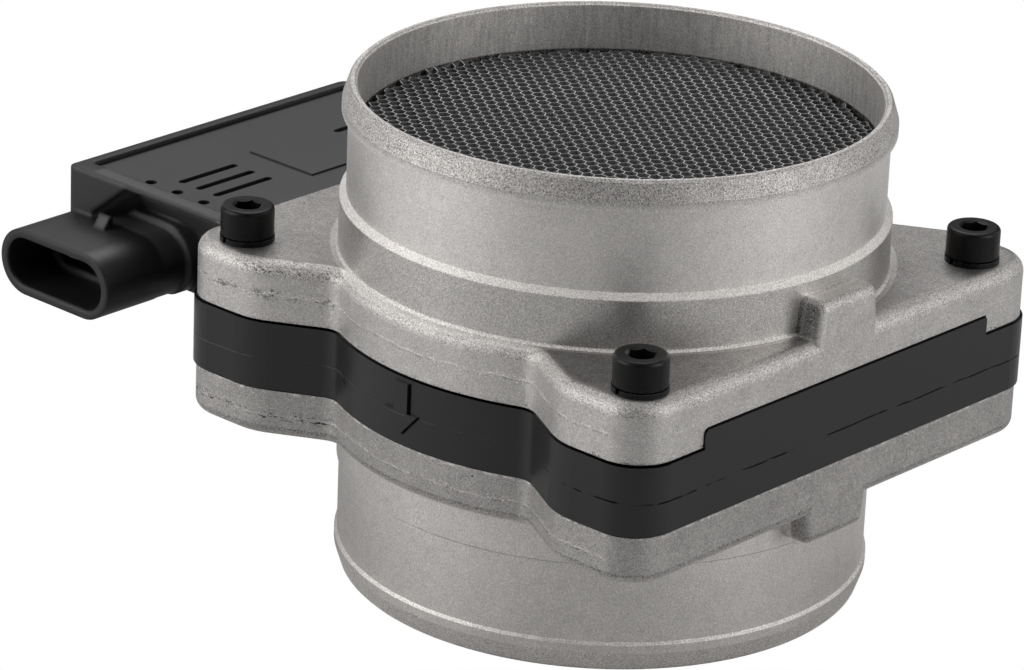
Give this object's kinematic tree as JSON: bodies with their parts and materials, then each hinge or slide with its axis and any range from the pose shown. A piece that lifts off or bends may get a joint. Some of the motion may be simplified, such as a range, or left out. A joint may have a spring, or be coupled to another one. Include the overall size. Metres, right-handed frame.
{
  "type": "mass airflow sensor",
  "caption": "Round duct sensor with two cast housings bolted round a plastic body, a honeycomb at the inlet, a side electronics box and a plug socket.",
  "frame": {"origin": "centre of the outlet rim", "axes": "+Z against the air flow, from the outlet rim to the inlet rim; -X towards the electronics box; -Y the way the plug socket opens"},
  "size_m": [0.1388, 0.102, 0.0824],
  "materials": {
    "cast_aluminium": "blasted die casting, light grey with a fine grain",
    "black_plastic": "satin black moulding",
    "cover_plastic": "fine matt black moulding",
    "seal_rubber": "matt",
    "honeycomb_foil": "bright thin foil",
    "black_steel": "black oxide, satin",
    "plate_aluminium": "rolled sheet, satin",
    "board_laminate": "green solder mask",
    "chip_plastic": "moulded case, matt",
    "ceramic": "sintered, smooth",
    "can_aluminium": "drawn can, satin",
    "duct_plastic": "satin black moulding",
    "post_steel": "drawn wire, satin",
    "bead_coating": "dipped, glossy",
    "terminal_brass": "tinned, satin"
  },
  "bodies": {
    "root": {"inlet_housing": "cast_aluminium", "outlet_housing": "cast_aluminium", "sensor_body": "black_plastic", "electronics_cover": "cover_plastic", "cover_seal": "seal_rubber", "inlet_seal": "seal_rubber", "outlet_seal": "seal_rubber", "flow_straightener": "honeycomb_foil", "clamp_screws": "black_steel", "lock_washers": "black_steel", "base_plate": "plate_aluminium", "circuit_board": "board_laminate", "controller_chip": "chip_plastic", "power_transistor": "chip_plastic", "chip_capacitors": "ceramic", "chip_resistors": "ceramic", "filter_capacitor": "can_aluminium", "sampling_duct": "duct_plastic", "element_posts": "post_steel", "hot_film_element": "ceramic", "reference_element": "ceramic", "air_thermistor": "bead_coating", "terminal_ground": "terminal_brass", "terminal_signal": "terminal_brass", "terminal_supply": "terminal_brass"}
  },
  "joints": []
}
